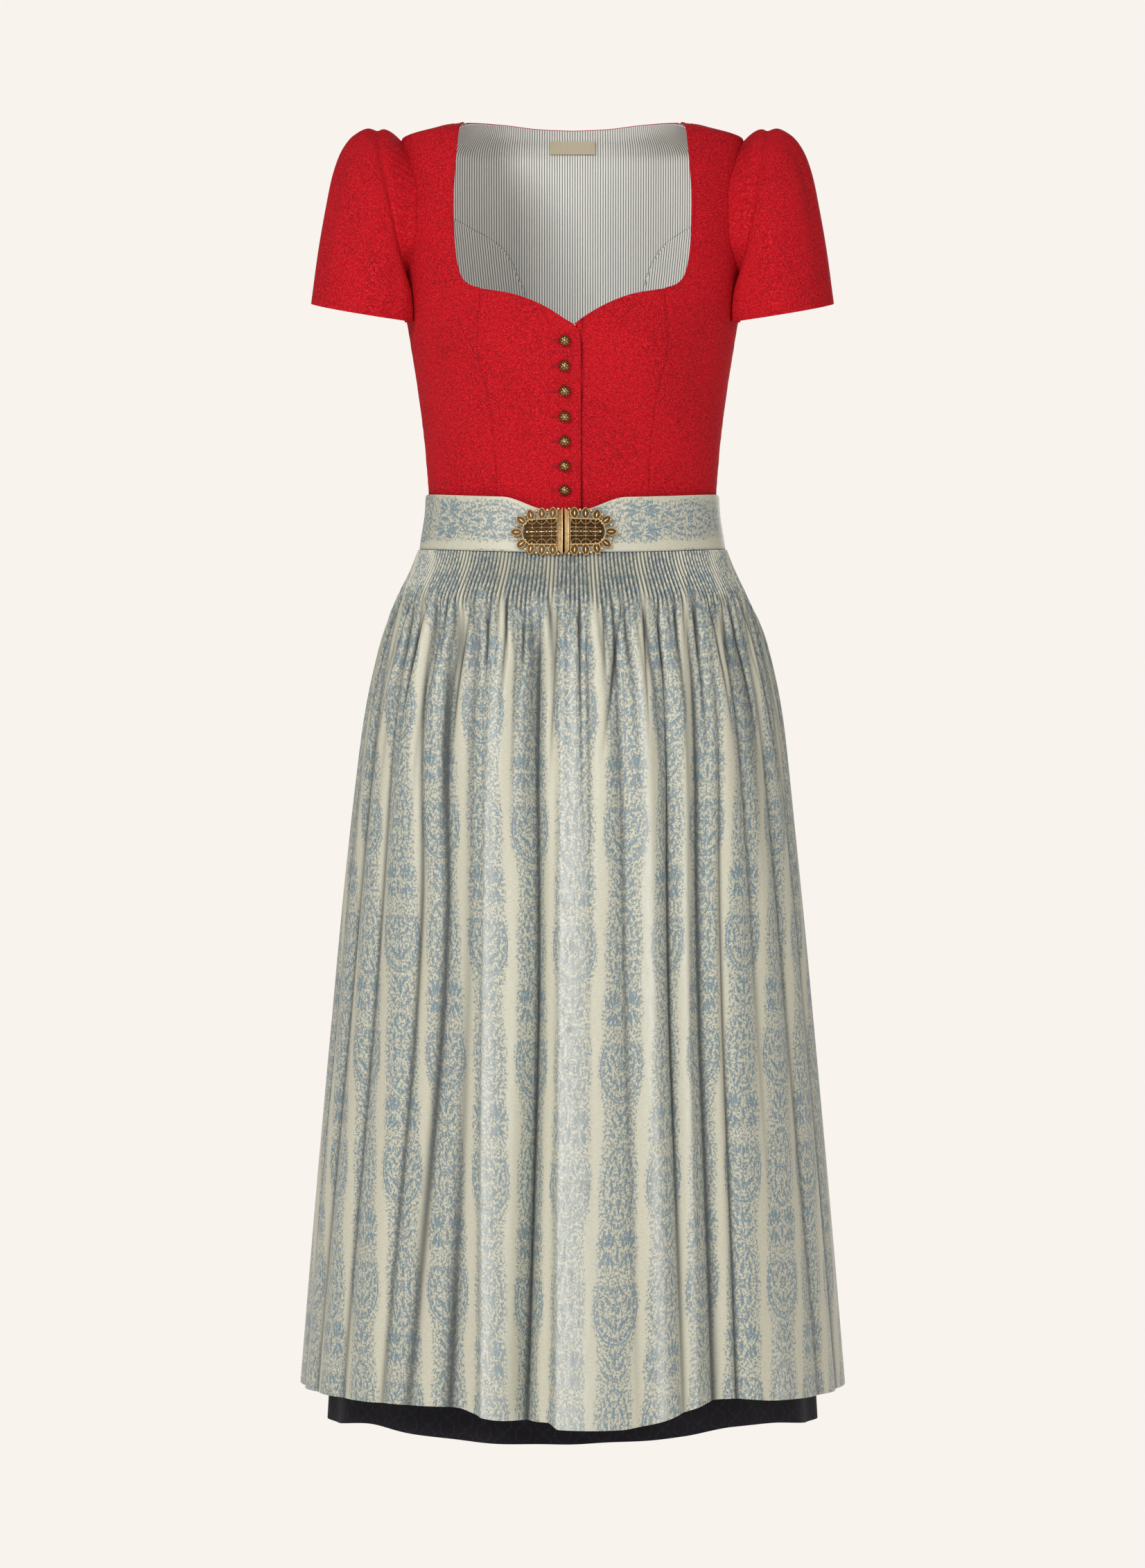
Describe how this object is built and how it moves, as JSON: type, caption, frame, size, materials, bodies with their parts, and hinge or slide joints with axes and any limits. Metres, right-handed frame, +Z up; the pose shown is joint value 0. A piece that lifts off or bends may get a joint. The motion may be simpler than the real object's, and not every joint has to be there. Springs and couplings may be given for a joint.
{
  "type": "dirndl dress with apron",
  "caption": "Midi dirndl worn as one piece: fitted short-sleeved buttoned bodice with striped lining, gathered dark skirt, and brocade apron closed by a filigree buckle.",
  "frame": {"origin": "midway between the neck ends of the two shoulder seams, where the wearer's shoulders carry the dress", "axes": "+Z up along the wearer, -Y out of the front, +X towards the wearer's left, which is the viewer's right"},
  "size_m": [0.471, 0.4146, 1.1272],
  "materials": {
    "red_jacquard": "matte red jacquard with a faint tone-on-tone floral figure",
    "striped_lining": "plain woven cotton with fine dark stripes on off-white",
    "label_tape": "smooth cream woven tape",
    "dark_skirt_cloth": "near-black plain cloth, faintly figured",
    "apron_brocade": "satin-sheened brocade, blue-grey figured stripes on a pale sand ground",
    "aged_brass": "antique brass, dark in the recesses and rubbed bright on the high points"
  },
  "bodies": {
    "root": {"front_side_right": "red_jacquard", "front_middle_right": "red_jacquard", "front_middle_left": "red_jacquard", "front_side_left": "red_jacquard", "back_side_right": "red_jacquard", "back_middle": "red_jacquard", "back_side_left": "red_jacquard", "sleeve_right": "red_jacquard", "sleeve_left": "red_jacquard", "lining_side_right": "striped_lining", "lining_middle": "striped_lining", "lining_side_left": "striped_lining", "label": "label_tape", "skirt_front": "dark_skirt_cloth", "skirt_back": "dark_skirt_cloth", "apron_panel": "apron_brocade", "apron_band": "apron_brocade", "buckle_right": "aged_brass", "buckle_left": "aged_brass", "button_1": "aged_brass", "button_2": "aged_brass", "button_3": "aged_brass", "button_4": "aged_brass", "button_5": "aged_brass", "button_6": "aged_brass", "button_7": "aged_brass"}
  },
  "joints": []
}
